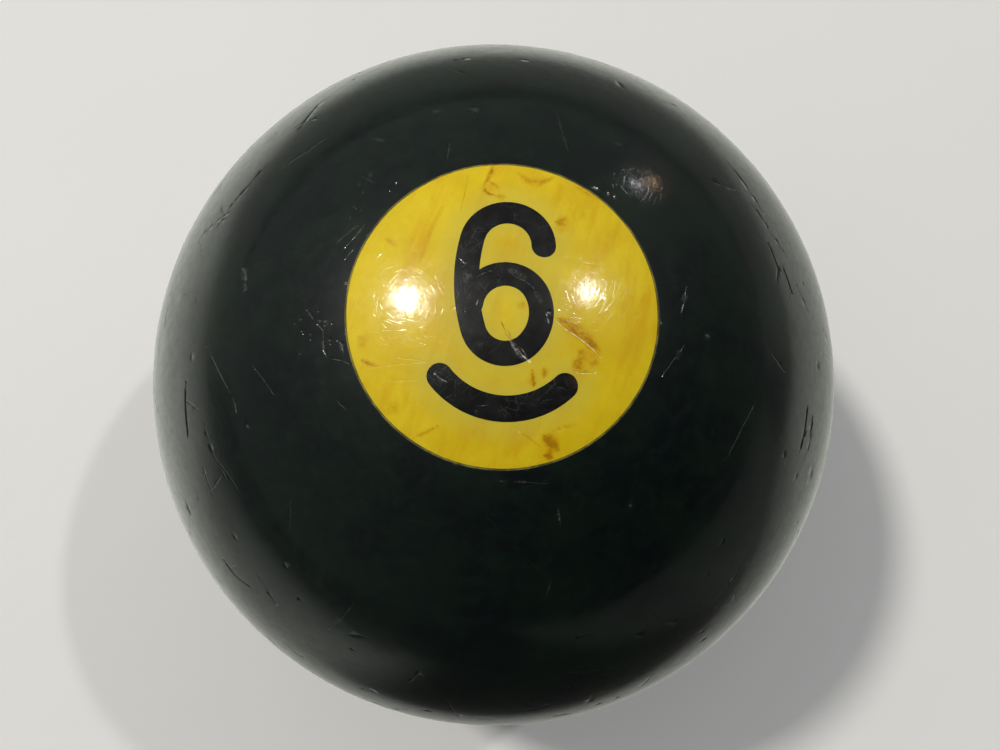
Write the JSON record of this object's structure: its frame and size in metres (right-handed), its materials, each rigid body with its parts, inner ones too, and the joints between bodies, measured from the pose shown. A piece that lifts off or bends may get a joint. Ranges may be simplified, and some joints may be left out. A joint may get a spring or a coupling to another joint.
{
  "type": "numbered pool ball",
  "caption": "Dark green pool ball with a yellow number disc inlaid at each pole, each carrying a black numeral 6 over a curved underline.",
  "frame": {"origin": "centre of the ball", "axes": "+Z out through the centre of the top number disc; +Y towards the top of its numeral, so the numeral is read from +Z with +Y up and +X to the right"},
  "size_m": [0.0572, 0.0572, 0.0572],
  "materials": {
    "ball_body": "cast phenolic resin, bottle green and almost black, glossy with fine scratches, nicks and a dull haze of wear",
    "number_disc": "aged yellow resin, glossy, with brown stains along old cracks",
    "numeral": "black resin fill, glossy with pale scuffs",
    "disc_cement": "dull pale cement, seen as a hairline round the disc"
  },
  "bodies": {
    "root": {"ball_body": "ball_body", "number_disc_top": "number_disc", "number_disc_bottom": "number_disc", "numeral_top": "numeral", "numeral_bottom": "numeral", "underline_top": "numeral", "underline_bottom": "numeral", "disc_cement_top": "disc_cement", "disc_cement_bottom": "disc_cement"}
  },
  "joints": []
}
